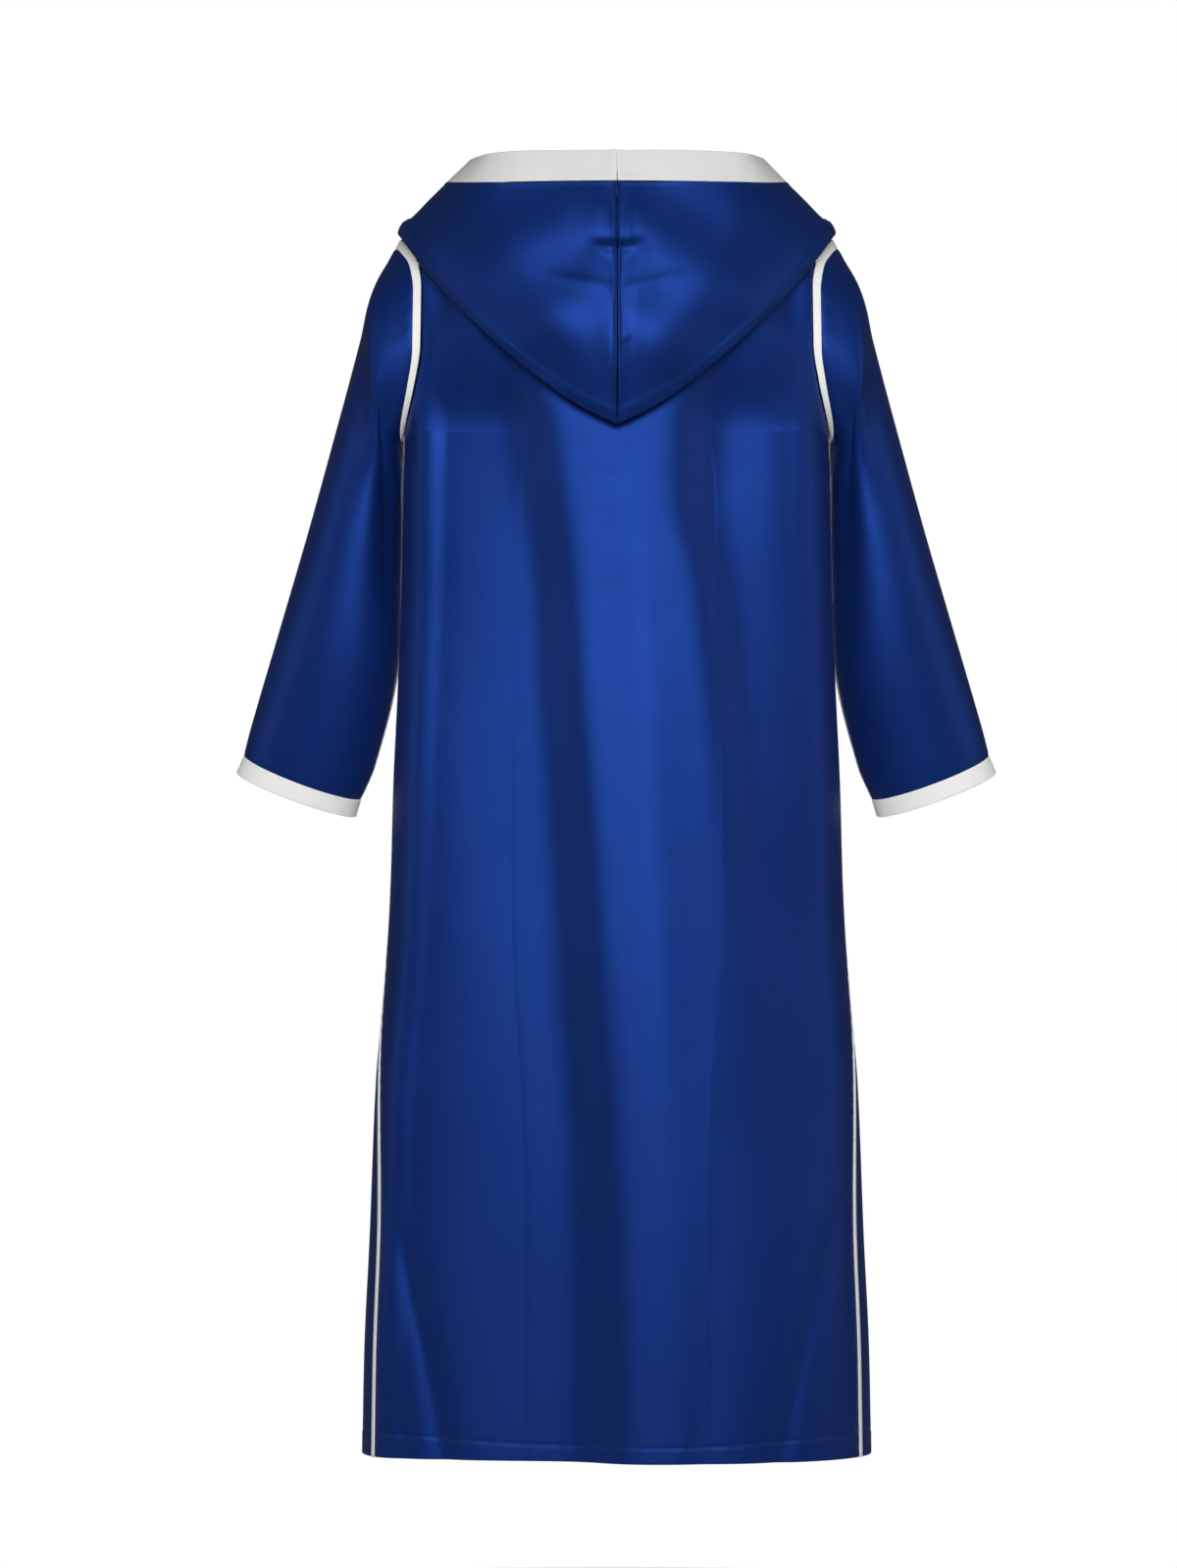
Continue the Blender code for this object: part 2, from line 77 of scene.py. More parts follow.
HOOD_CLEARANCE = 0.008  # between the hood's lower layer and the body
HOOD_FOLD_RADIUS = 0.006
HOOD_FOLD_STEP = 8  # the fold's place in the list of control points
NECK_STAND = 0.0014  # from the body's neck edge to the hood's
NECK_BACK_SHARE = 0.60  # of the stations, those on the back half of the neck
UNDER_SHARES = (0.12, 0.26, 0.42, 0.60, 0.80)  # from the crest to the fold
UPPER_SWELL = ((0.30, 1.05), (0.66, 0.72))  # from the fold to the band, and the share of the billow there
V_STAND = 0.0025  # of the hood's front edges from the middle
SHOULDERS_MIDDLE = np.array((0.0, 0.0, -0.150))  # which the hood swells away from

STITCH = 0.0032  # from one stitch to the next
THREAD = 0.00045
THREAD_LIFT = THREAD * 0.25
BAND_STITCHING = 0.0035  # from the band's seam
RIB = 0.0017  # from one rib of the tape to the next


def table(columns, *rows):
    return dict(zip(columns.split(), np.array(rows, dtype=float).T))


TORSO = table(
    "height half_width back front seam_angle",
    (-1.390, 0.2800, 0.160, 0.166, 70.7),
    (-1.282, 0.2780, 0.156, 0.162, 71.0),
    (-1.152, 0.2720, 0.150, 0.156, 72.0),
    (-0.980, 0.2650, 0.142, 0.148, 79.0),
    (-0.870, 0.2550, 0.137, 0.143, 90.0),
    (-0.764, 0.2490, 0.133, 0.139, 96.0),
    (-0.656, 0.2460, 0.130, 0.136, 97.5),
    (-0.548, 0.2410, 0.127, 0.131, 98.0),
    (-0.440, 0.2370, 0.124, 0.127, 98.0),
    (-0.330, 0.2350, 0.124, 0.125, 96.5),
    (-0.270, 0.2335, 0.125, 0.125, 90.0),
    (-0.200, 0.2410, 0.125, 0.125, 90.0),
    (-0.150, 0.2480, 0.125, 0.125, 90.0),
    (0.010, 0.2520, 0.125, 0.125, 90.0),
)
ARMHOLE = table(
    "height across",
    (-0.270, 0.2335),
    (-0.259, 0.2310),
    (-0.215, 0.2205),
    (-0.176, 0.2145),
    (-0.111, 0.2140),
    (-0.081, 0.2190),
    (-0.064, 0.2300),
    (-0.056, 0.2380),
)
SLEEVE = table(
    "ring outer_x outer_z inner_x inner_z half_depth forward",
    (0, 0.2610, -0.100, 0.2362, -0.288, 0.0740, 0.010),
    (1, 0.2800, -0.163, 0.2346, -0.318, 0.0720, 0.024),
    (2, 0.3070, -0.254, 0.2346, -0.355, 0.0690, 0.038),
    (3, 0.3410, -0.375, 0.2360, -0.420, 0.0660, 0.044),
    (4, 0.3730, -0.483, 0.2410, -0.530, 0.0600, 0.052),
    (5, 0.4055, -0.591, 0.2670, -0.634, 0.0500, 0.068),
    (6, 0.4140, -0.623, 0.2835, -0.672, 0.0460, 0.074),
    (7, 0.4220, -0.6415, 0.2890, -0.6905, 0.0450, 0.0775),
)
HOOD = table(
    "station crest_x crest_y crest_z fold_x fold_y fold_z rim_x rim_y rim_z billow",
    (0.00, 0.000, -0.080, 0.014, 0.000, -0.150, -0.265, 0.000, -0.124, 0.032, 0.034),
    (0.12, 0.028, -0.078, 0.014, 0.044, -0.148, -0.243, 0.044, -0.122, 0.032, 0.030),
    (0.28, 0.060, -0.066, 0.015, 0.112, -0.138, -0.192, 0.097, -0.114, 0.032, 0.020),
    (0.44, 0.086, -0.043, 0.018, 0.181, -0.108, -0.125, 0.136, -0.096, 0.031, 0.010),
    (0.56, 0.099, -0.018, 0.020, 0.219, -0.070, -0.079, 0.152, -0.072, 0.029, 0.006),
    (0.64, 0.102, 0.004, 0.018, 0.2390, -0.025, -0.051, 0.161, -0.040, 0.027, 0.001),
    (0.74, 0.096, 0.030, 0.008, 0.222, 0.044, -0.062, 0.162, 0.010, 0.017, 0.004),
    (0.86, 0.060, 0.088, -0.034, 0.150, 0.132, -0.124, 0.110, 0.112, -0.034, 0.008),
    (1.00, 0.010, 0.138, -0.120, 0.040, 0.148, -0.180, 0.006, 0.162, -0.112, 0.004),
)


def crease(*rows):
    """A fold of the body: where it runs, its reach to each side and how deep the cloth sinks in."""
    return table("height x reach sink", *rows)


def sleeve_crease(*rows):
    """A fold of the sleeve, by its step down the sleeve and its turn round it."""
    return table("step turn reach sink", *rows)


# At a drop the cloth steps in to the side named first, and comes back out as it nears the side seam: evenly
# where the second number is 1, later the larger it is.
BACK_DROPS = (
    (
        -1,
        2.5,
        crease(
            (-1.390, -0.018, 0.052, 0.041),
            (-1.282, -0.018, 0.050, 0.041),
            (-1.142, -0.020, 0.046, 0.039),
            (-0.980, -0.029, 0.040, 0.036),
            (-0.870, -0.037, 0.036, 0.033),
            (-0.764, -0.043, 0.033, 0.032),
            (-0.656, -0.051, 0.032, 0.031),
            (-0.548, -0.060, 0.032, 0.031),
            (-0.440, -0.066, 0.031, 0.030),
            (-0.340, -0.080, 0.034, 0.031),
            (-0.265, -0.092, 0.033, 0.033),
            (-0.195, -0.106, 0.030, 0.009),
            (-0.160, -0.112, 0.030, 0.000),
        ),
    ),
    (
        1,
        1.2,
        crease(
            (-1.120, 0.182, 0.040, 0.000),
            (-0.980, 0.170, 0.038, 0.006),
            (-0.870, 0.156, 0.036, 0.008),
            (-0.764, 0.142, 0.034, 0.013),
            (-0.656, 0.130, 0.031, 0.018),
            (-0.548, 0.118, 0.029, 0.022),
            (-0.440, 0.106, 0.029, 0.024),
            (-0.340, 0.086, 0.033, 0.029),
            (-0.265, 0.088, 0.033, 0.032),
            (-0.195, 0.104, 0.030, 0.009),
            (-0.160, 0.110, 0.030, 0.000),
        ),
    ),
)
FRONT_DROPS = (
    (
        1,
        1.2,
        crease(
            (-1.390, 0.022, 0.046, 0.028),
            (-1.000, 0.040, 0.040, 0.028),
            (-0.600, 0.062, 0.034, 0.026),
            (-0.340, 0.084, 0.034, 0.020),
            (-0.220, 0.098, 0.030, 0.000),
        ),
    ),
    (
        -1,
        2.5,
        crease(
            (-1.180, -0.172, 0.036, 0.000),
            (-0.900, -0.150, 0.034, 0.014),
            (-0.600, -0.122, 0.034, 0.022),
            (-0.360, -0.096, 0.034, 0.018),
            (-0.240, -0.088, 0.030, 0.000),
        ),
    ),
)
BACK_FOLDS = (
    crease((-1.400, -0.186, 0.018, 0.006), (-1.250, -0.214, 0.014, 0.006), (-1.100, -0.250, 0.012, 0.000)),
    crease((-1.400, 0.172, 0.020, 0.007), (-1.250, 0.206, 0.015, 0.006), (-1.090, 0.246, 0.012, 0.000)),
    crease((-1.395, 0.094, 0.030, 0.005), (-1.250, 0.098, 0.030, 0.003), (-1.000, 0.112, 0.030, 0.000)),
    crease(  # the cloth stands out between the two drops
        (-1.390, 0.080, 0.050, -0.002),
        (-0.980, 0.050, 0.046, -0.004),
        (-0.550, 0.032, 0.042, -0.005),
        (-0.280, 0.010, 0.040, -0.001),
    ),
    crease((-0.175, -0.188, 0.026, 0.000), (-0.120, -0.186, 0.030, 0.014), (-0.050, -0.184, 0.03, 0.0)),
    crease((-0.175, 0.188, 0.026, 0.000), (-0.120, 0.186, 0.030, 0.014), (-0.050, 0.184, 0.03, 0.0)),
    crease((-0.250, -0.212, 0.007, 0.0000), (-0.205, -0.204, 0.008, 0.0016), (-0.150, -0.196, 0.006, 0.0)),
    crease((-0.250, 0.210, 0.007, 0.0000), (-0.200, 0.203, 0.008, 0.0015), (-0.145, 0.195, 0.006, 0.0)),
)
FRONT_FOLDS = (
    crease((-1.400, 0.190, 0.020, 0.007), (-1.240, 0.216, 0.016, 0.006), (-1.080, 0.244, 0.012, 0.000)),
    crease((-1.400, -0.110, 0.026, 0.008), (-1.200, -0.104, 0.022, 0.006), (-0.960, -0.090, 0.022, 0.000)),
    crease((-0.250, -0.212, 0.007, 0.0), (-0.200, -0.203, 0.008, 0.0015), (-0.150, -0.196, 0.006, 0.0)),
    crease((-0.250, 0.211, 0.007, 0.0), (-0.205, 0.204, 0.008, 0.0016), (-0.150, 0.196, 0.006, 0.0)),
)
SLEEVE_FOLDS = (
    sleeve_crease((0.4, 118, 16, 0.0), (1.6, 128, 18, 0.006), (3.0, 132, 20, 0.007), (5.0, 140, 18, 0.0)),
    sleeve_crease((0.8, 60, 20, 0.0), (2.4, 70, 22, 0.003), (4.4, 84, 22, 0.0)),
    sleeve_crease((0.4, 236, 16, 0.0), (1.6, 230, 18, 0.006), (3.2, 226, 20, 0.006), (5.2, 216, 18, 0.0)),
    sleeve_crease((1.0, 300, 20, 0.0), (2.8, 290, 22, 0.003), (4.6, 280, 22, 0.0)),
)


def read(rows, column, where):
    """One column of a table at `where`, on a smooth curve that doesn't overshoot its rows."""
    keys, values = rows[next(iter(rows))], rows[column]
    if keys[0] > keys[-1]:
        keys, values = keys[::-1], values[::-1]
    span = np.diff(keys)
    slope = np.diff(values) / span
    both = slope[:-1] * slope[1:]
    total = np.where(both > 0, slope[:-1] + slope[1:], 1.0)
    tangent = np.concatenate(([slope[0]], np.where(both > 0, 2 * both / total, 0.0), [slope[-1]]))
    where = np.clip(where, keys[0], keys[-1])
    i = np.clip(np.searchsorted(keys, where, side="right") - 1, 0, len(span) - 1)
    u = (where - keys[i]) / span[i]
    blend = u * u * (3 - 2 * u)
    drift = span[i] * (tangent[i] * u * (1 - u) ** 2 - tangent[i + 1] * u * u * (1 - u))
    return values[i] * (1 - blend) + values[i + 1] * blend + drift


def length(vectors):
    return np.linalg.norm(vectors, axis=-1, keepdims=True)


def unit(vectors):
    return vectors / np.maximum(length(vectors), 1e-12)


def ease(u):
    u = np.clip(u, 0.0, 1.0)
    return u * u * (3 - 2 * u)


def bell(distance, reach):
    return np.exp(-((distance / reach) ** 2))


# --- the body ------------------------------------------------------------------------------------
def shoulder_height(x):
    tip_x, tip_z = SHOULDER_TIP
    return SHOULDER_CREST - (SHOULDER_CREST - tip_z) * np.abs(x / tip_x) ** SHOULDER_BEND


def shoulder_rounding(x, z):
    rise = (z - shoulder_height(x) + SHOULDER_ROUND) / SHOULDER_ROUND
    return np.sqrt(np.maximum(0.0, 1 - np.maximum(0.0, rise) ** 2))


def armhole_angle(z):
    share = read(ARMHOLE, "across", z) / read(TORSO, "half_width", z)
    return np.degrees(np.arcsin(np.minimum(1.0, share ** (ROUNDNESS / 2))))


def fold_depth(folds, drops, x, z):
    """How far the folds and drops sink the cloth in."""
    half_width = read(TORSO, "half_width", z)
    sink = 0.0
    for rows in folds:
        off = (x - read(rows, "x", z)) / read(rows, "reach", z)
        fade = ease((z - rows["height"].min()) / FOLD_END + 1)
        hollow = np.exp(-1.1 * (np.sqrt(1 + 3.2 * off * off) - 1))
        sink = sink + read(rows, "sink", z) * fade * hollow
    for side, run_out, rows in drops:
        reach = read(rows, "reach", z)
        past = side * (x - read(rows, "x", z))
        room = half_width - side * read(rows, "x", z) - reach
        gone = past - reach
        gone = (gone + np.sqrt(gone**2 + SOFT_START**2)) / 2
        back_out = np.clip(gone / room, 0.0, 1.0) ** run_out
        step = (1 + np.tanh(STEP_STEEPNESS * past / reach)) / 2
        sink = sink + read(rows, "sink", z) * step * (1 - back_out)
    return sink * ease((half_width - np.abs(x)) / FOLD_FADE)


def slack(x, z):
    """The slow unevenness of hanging cloth."""
    return (
        0.0012 * np.sin(9 * x + 4.1 * z + 0.7)
        + 0.0009 * np.sin(17 * x - 6.3 * z + 2.1)
        + 0.0005 * np.sin(31 * x + 11.7 * z + 4.0)
    )


def torso(angle, z):
    """Points of the body's outer face, with its folds."""
    half_width = read(TORSO, "half_width", z)
    turn = np.radians(np.abs(angle))
    back = np.abs(angle) <= 90
    side = np.where(back, -1, 1)
    x = np.sign(angle) * half_width * np.sin(turn) ** (2 / ROUNDNESS)
    depth = np.where(back, read(TORSO, "back", z), read(TORSO, "front", z))
    rounding = shoulder_rounding(x, z)
    y = side * depth * np.abs(np.cos(turn)) ** (2 / ROUNDNESS) * rounding
    behind, before = fold_depth(BACK_FOLDS, BACK_DROPS, x, z), fold_depth(FRONT_FOLDS, FRONT_DROPS, x, z)
    sink = np.where(back, behind, before)
    calm = ease((half_width - np.abs(x)) / FOLD_FADE) * rounding
    return np.stack((x, y - side * (sink - slack(x, z) * calm) * rounding**0.5, z + 0 * x), -1)


def pace(seam, z):
    """Metres along the body's outer face for one degree of its angle."""
    return length(torso(seam + 1, z) - torso(seam - 1, z))[..., 0] / 2


def panel_end(side, z):
    """The angle at which the back (-1) or front (1) panel ends at height z."""
    hole = armhole_angle(z)
    above = z > ARMPIT
    seam = np.where(above, hole if side < 0 else 180 - hole, read(TORSO, "seam_angle", z))
    inset = np.where(above, GAP, SIDE_PIPING / 2 + 1.5 * GAP)
    return seam + side * inset / pace(seam, z)


def panel_angle(side, share, z):
    end = panel_end(side, z)
    return share * end if side < 0 else 180 - share * (180 - end)


def neck_front_height(x):
    return V_POINT * (1 - np.minimum(1.0, np.abs(x) / NECK_HALF_WIDTH)) ** V_BOW


def in_neck(side, points):
    x, y, z = np.moveaxis(points, -1, 0)
    past_seam = np.abs(y) < GAP / 2
    if side < 0:
        inside = (x / NECK_HALF_WIDTH) ** 2 + (y / NECK_BACK_DEPTH) ** 2 < 1
    else:
        inside = z > neck_front_height(x)
    return past_seam | (inside & (np.abs(x) < NECK_HALF_WIDTH))


def panel_top(side, share):
    """The height at which each column of a panel meets the neck or the shoulder seam."""
    low, high = np.full_like(share, ARMPIT), np.full_like(share, SHOULDER_CREST)
    for _ in range(40):  # halves the bracket each time
        middle = (low + high) / 2
        inside = in_neck(side, torso(panel_angle(side, share, middle), middle))
        low, high = np.where(inside, low, middle), np.where(inside, middle, high)
    return low


def neck_share(side):
    """The column that ends at the high point of the shoulder."""
    shares = np.linspace(0.1, 0.7, 2401)
    tops = panel_top(side, shares)
    across = torso(panel_angle(side, shares, tops), tops)[:, 0]
    return shares[int(np.argmax(np.abs(across) >= NECK_HALF_WIDTH))]


def near_edge(count):
    """Shares from 0 to 1, close together at the end, where the cloth turns in to its seam."""
    return np.concatenate((np.linspace(0, 0.980, count), [1 - 0.011, 1 - 0.0055, 1 - 0.0022, 1.0]))


# --- cut pieces ----------------------------------------------------------------------------------
def grid_normals(points, closed=False, flip=1):
    if closed:
        across = np.roll(points, -1, 1) - np.roll(points, 1, 1)
    else:
        across = np.gradient(points, axis=1)
    return flip * unit(np.cross(across, np.gradient(points, axis=0)))


def tube_normals(points):
    normals = grid_normals(points, closed=True)
    outwards = np.sum(normals * (points - points.mean(1, keepdims=True)), -1).mean()
    return normals * np.sign(outwards)


def run(points, axis):
    """Distance along the grid from its first point, in metres."""
    steps = length(np.diff(points, axis=axis))[..., 0]
    start = np.zeros_like(np.take(steps, [0], axis=axis))
    return np.concatenate((start, np.cumsum(steps, axis=axis)), axis=axis)


def signed_volume(places, faces):
    a, b, c, d = (places[faces[:, i]] for i in range(4))
    return float(np.sum(a * np.cross(b, c)) + np.sum(a * np.cross(c, d)))


def cloth_uv(outer, closed):
    """Metres across and along the cloth, for the outer face, the top edge, the inner face and the bottom."""
    around = np.concatenate((outer, outer[:, :1]), 1) if closed else outer
    u, v = run(around, 1), run(around, 0)
    u = u - u[:, u.shape[1] // 2][:, None]
    v = v - v[-1:] + v[-1].mean()
    wide = np.concatenate((u, u[-1:], u[::-1], u[:1]))
    high = np.concatenate((v, v[-1:] + CLOTH, v[::-1], v[:1] - CLOTH))
    return np.stack((wide, high), -1)


def sew(name, outer, normals, material, closed=False):
    """One piece of cloth from the grid of its outer face, with rounded edges at its two row ends."""
    rows, columns = outer.shape[:2]
    inner = outer - normals * CLOTH
    middle = (outer + inner) / 2
    top = middle[-1] + unit(middle[-1] - middle[-2]) * EDGE_ROUND
    bottom = middle[0] + unit(middle[0] - middle[1]) * EDGE_ROUND
    ring = np.concatenate((outer, top[None], inner[::-1], bottom[None]))
    uv = cloth_uv(outer, closed)
    count = len(ring)
    index = np.arange(count * columns).reshape(count, columns)
    if closed:
        index = np.concatenate((index, index[:, :1]), 1)
    r = np.arange(count)
    after = (r + 1) % count
    wide = index.shape[1] - 1
    corner = np.stack((index[r, :wide], index[r, 1:], index[after, 1:], index[after, :wide]), -1).reshape(-1, 4)
    corner_uv = np.stack((uv[r, :wide], uv[r, 1:], uv[after, 1:], uv[after, :wide]), -2).reshape(-1, 4, 2)
    faces, face_uv = corner.tolist(), list(corner_uv)
    if not closed:
        back = count - 2 - np.arange(rows)  # the inner face's row behind each outer one
        j = np.arange(rows - 1)
        for column, order in ((0, (0, 1, 2, 3)), (columns - 1, (1, 0, 3, 2))):  # close the two side edges
            four = np.stack((j, j + 1, back[j + 1], back[j]), -1)[:, order]
            faces += index[four, column].tolist()
            face_uv += list(uv[four, column])
            for three in ((rows - 1, rows, rows + 1), (count - 2, count - 1, 0)):
                three = three if column == 0 else three[::-1]
                faces.append([int(index[k, column]) for k in three])
                face_uv.append(uv[list(three), column])
    places = ring.reshape(-1, 3)
    if signed_volume(places, corner) < 0:
        faces = [face[::-1] for face in faces]
        face_uv = [pair[::-1] for pair in face_uv]
    data = bpy.data.meshes.new(name)
    data.from_pydata(places.tolist(), [], faces)
    flat = np.concatenate([np.ravel(pair) for pair in face_uv]).astype(np.float32)
    data.uv_layers.new(name="cloth").uv.foreach_set("vector", flat)
    data.shade_smooth()
    data.materials.append(material)
    piece = bpy.data.objects.new(name, data)
    bpy.context.scene.collection.objects.link(piece)
    return piece


def trim(piece, node=None):
    """A piece that is sewn on, which stands for a CAD node where one is named."""
    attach(piece, "root")
    if node:
        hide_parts(node)


def cut_sheet(piece, node):
    trim(piece, node)


# --- shader and geometry nodes -------------------------------------------------------------------
class Wire:
    """A value on its way through a node tree. Arithmetic on it adds Math nodes."""

    def __init__(self, tree, socket=None):
        self.tree, self.socket = tree, socket

    def node(self, kind, settings=None, sockets=None, out=0):
        made = self.tree.nodes.new(kind)
        for name, value in (settings or {}).items():
            setattr(made, name, value)
        for name, value in (sockets or {}).items():
            if isinstance(value, Wire):
                self.tree.links.new(value.socket, made.inputs[name])
            else:
                made.inputs[name].default_value = value
        return Wire(self.tree, made.outputs[out])

    def beside(self, out):
        """Another output of the node that this one comes from."""
        return Wire(self.tree, self.socket.node.outputs[out])

    def maths(self, operation, *others):
        return self.node("ShaderNodeMath", {"operation": operation}, dict(enumerate((self, *others))))

    def __add__(self, other):
        return self.maths("ADD", other)

    def __mul__(self, other):
        return self.maths("MULTIPLY", other)

    def __sub__(self, other):
        return self.maths("SUBTRACT", other)

    def __rsub__(self, other):
        return self.node("ShaderNodeMath", {"operation": "SUBTRACT"}, {0: other, 1: self})

    __radd__, __rmul__ = __add__, __mul__

    def sin(self):
        return self.maths("SINE")

    def within(self, low, high):
        """0 below `low`, 1 above `high`, eased between them."""
        settings = {"interpolation_type": "SMOOTHSTEP"}
        return self.node("ShaderNodeMapRange", settings, {0: self, 1: low, 2: high, 3: 0.0, 4: 1.0})


def material(name, finish, **sockets):
    """A material whose Principled sockets are set here, and whose changing values `finish` adds."""
    made = bpy.data.materials.new(name)
    made.use_nodes = True
    tree = made.node_tree
    shader = tree.nodes["Principled BSDF"]
    for socket, value in sockets.items():
        shader.inputs[socket.replace("_", " ")].default_value = value
    for socket, wire in finish(Wire(tree)).items():
        tree.links.new(wire.socket, shader.inputs[socket])
    return made


def mixed(share, first, second):
    sockets = {"Factor": share, "A": first, "B": second}
    return share.node("ShaderNodeMix", {"data_type": "RGBA"}, sockets, out="Result")


def noise(place, scale, detail=2.0, roughness=0.5):
    sockets = {"Vector": place, "Scale": scale, "Detail": detail, "Roughness": roughness}
    return place.node("ShaderNodeTexNoise", None, sockets)


def yarn_noise(grain, scale):
    """Noise drawn out along the threads, which `scale` sets across, along and through the cloth."""
    return noise(grain.node("ShaderNodeMapping", None, {"Vector": grain, "Scale": scale}), 1.0)


def bumped(height, distance):
    return height.node("ShaderNodeBump", None, {"Strength": 1.0, "Distance": distance, "Height": height})


def weave(deep, light, pitch, bump, twill, rough):
    """Woven cloth: threads, uneven yarn, slow changes of tone and a pressed, rubbed sheen."""

    def finish(start):
        grain = start.node("ShaderNodeUVMap", {"uv_map": "cloth"})
        place = start.node("ShaderNodeTexCoord", out="Object")
        u = start.node("ShaderNodeSeparateXYZ", None, {"Vector": grain})
        v = u.beside(1)
        turn = 2 * math.pi / pitch
        if twill:
            threads = ((u + v * 1.9) * turn).sin() * 0.6 + ((u - v * 0.6) * (turn * 0.5)).sin() * 0.2
        else:
            threads = (u * turn).sin() * (v * turn).sin()
        yarn = yarn_noise(grain, (1400, 26, 1)) * 0.6 + yarn_noise(grain, (20, 1100, 1)) * 0.4
        tone = noise(place, 5.5, 3.0)
        rubbed = noise(place, 38.0, 4.0, 0.6)
        share = (tone * 0.55 + yarn * 0.45 + threads * 0.05).within(0.30, 0.72)
        height = threads * 0.35 + yarn * 1.1 + rubbed * 0.15
        return {
            "Base Color": mixed(share, deep, light),
            "Roughness": yarn * 0.10 + rubbed * 0.10 + (rough - 0.10),
            "Normal": bumped(height, bump),
        }

    return finish


def twisted(colour, worn):
    """Sewing thread, twisted from strands."""

    def finish(start):
        place = start.node("ShaderNodeTexCoord", out="Object")
        strands = noise(place, 2600.0, 1.0)
        return {
            "Base Color": mixed(noise(place, 420.0), colour, worn),
            "Roughness": strands * 0.2 + 0.45,
            "Normal": bumped(strands, 0.0001),
        }

    return finish


BLUE_SATIN = material(
    "blue_satin_gabardine",
    weave((0.0020, 0.0105, 0.066, 1), (0.0034, 0.0155, 0.094, 1), 0.0009, 0.00005, True, 0.50),
    Specular_IOR_Level=1.0,
    IOR=1.64,
    Specular_Tint=(0.050, 0.180, 1.0, 1.0),
    Sheen_Weight=0.03,
    Sheen_Roughness=0.40,
    Sheen_Tint=(0.30, 0.40, 1.0, 1.0),
)
# Painted shade: the hood band is the cuffs' ivory cotton made darker, to hold back the light that the band
# catches from the lamps.
IVORY_BAND_PAINTED_SHADE = material(
    "ivory_cotton_band_painted_shade",
    weave((0.65, 0.65, 0.64, 1), (0.71, 0.71, 0.70, 1), 0.0006, 0.00008, False, 0.72),
    Sheen_Weight=0.10,
    Sheen_Roughness=0.5,
)
# Painted light: the cuffs and armhole bands are the same ivory cotton as the hood band made lighter, to make up
# for the light that they miss.
IVORY_CUFF_PAINTED_LIGHT = material(
    "ivory_cotton_cuff_painted_light",
    weave((0.84, 0.84, 0.82, 1), (0.89, 0.885, 0.865, 1), 0.0006, 0.00008, False, 0.72),
    Sheen_Weight=0.30,
    Sheen_Roughness=0.5,
)
IVORY_TAPE = material(
    "ivory_ribbed_tape",
    weave((0.80, 0.80, 0.78, 1), (0.87, 0.865, 0.845, 1), 0.0005, 0.00006, False, 0.60),
)
BLUE_THREAD = material("blue_sewing_thread", twisted((0.004, 0.018, 0.105, 1), (0.006, 0.026, 0.140, 1)))
NAVY_THREAD = material("navy_sewing_thread", twisted((0.004, 0.010, 0.040, 1), (0.010, 0.020, 0.070, 1)))
IVORY_THREAD = material("ivory_sewing_thread", twisted((0.66, 0.65, 0.61, 1), (0.78, 0.77, 0.73, 1)))


# --- stitches and ribs ---------------------------------------------------------------------------


def row_tree():
    """Beads laid in a row along a line: stitches of thread, or the ribs of a tape."""
    tree = bpy.data.node_groups.new("bead_row", "GeometryNodeTree")
    face = tree.interface
    face.new_socket("Geometry", in_out="INPUT", socket_type="NodeSocketGeometry")
    for name, value in (("Pitch", STITCH), ("Along", STITCH * 0.8), ("Across", THREAD), ("High", THREAD)):
        size = face.new_socket(name, in_out="INPUT", socket_type="NodeSocketFloat")
        size.default_value = value
    face.new_socket("Material", in_out="INPUT", socket_type="NodeSocketMaterial")
    face.new_socket("Geometry", in_out="OUTPUT", socket_type="NodeSocketGeometry")
    start = Wire(tree)
    given = start.node("NodeGroupInput", out="Geometry")
    curve = start.node("GeometryNodeMeshToCurve", None, {"Mesh": given})
    spacing = {"Curve": curve, "Length": given.beside("Pitch")}
    points = start.node("GeometryNodeCurveToPoints", {"mode": "LENGTH"}, spacing)
    across = start.node("GeometryNodeInputNamedAttribute", {"data_type": "FLOAT_VECTOR"}, {"Name": "across"})
    align = "FunctionNodeAlignRotationToVector"
    lying = start.node(align, {"axis": "Z"}, {"Vector": points.beside("Tangent")})
    facing = start.node(align, {"axis": "X", "pivot_axis": "Z"}, {"Rotation": lying, "Vector": across})
    spread = {"Min": 0.92, "Max": 1.06, "Seed": 11}
    uneven = start.node("FunctionNodeRandomValue", {"data_type": "FLOAT"}, spread, out=1)
    sizes = {"X": given.beside("Across"), "Y": given.beside("High"), "Z": given.beside("Along")}
    shape = start.node("ShaderNodeCombineXYZ", None, sizes)
    bead = start.node("GeometryNodeMeshUVSphere", None, {"Segments": 6, "Rings": 4, "Radius": 0.5})
    bead = start.node("GeometryNodeTransform", None, {"Geometry": bead, "Scale": shape})
    row = {"Points": points, "Instance": bead, "Rotation": facing, "Scale": uneven}
    placed = start.node("GeometryNodeInstanceOnPoints", None, row)
    whole = start.node("GeometryNodeRealizeInstances", None, {"Geometry": placed})
    stuff = given.beside("Material")
    done = start.node("GeometryNodeSetMaterial", None, {"Geometry": whole, "Material": stuff})
    end = tree.nodes.new("NodeGroupOutput")
    tree.links.new(done.socket, end.inputs["Geometry"])
    return tree


ROW = row_tree()


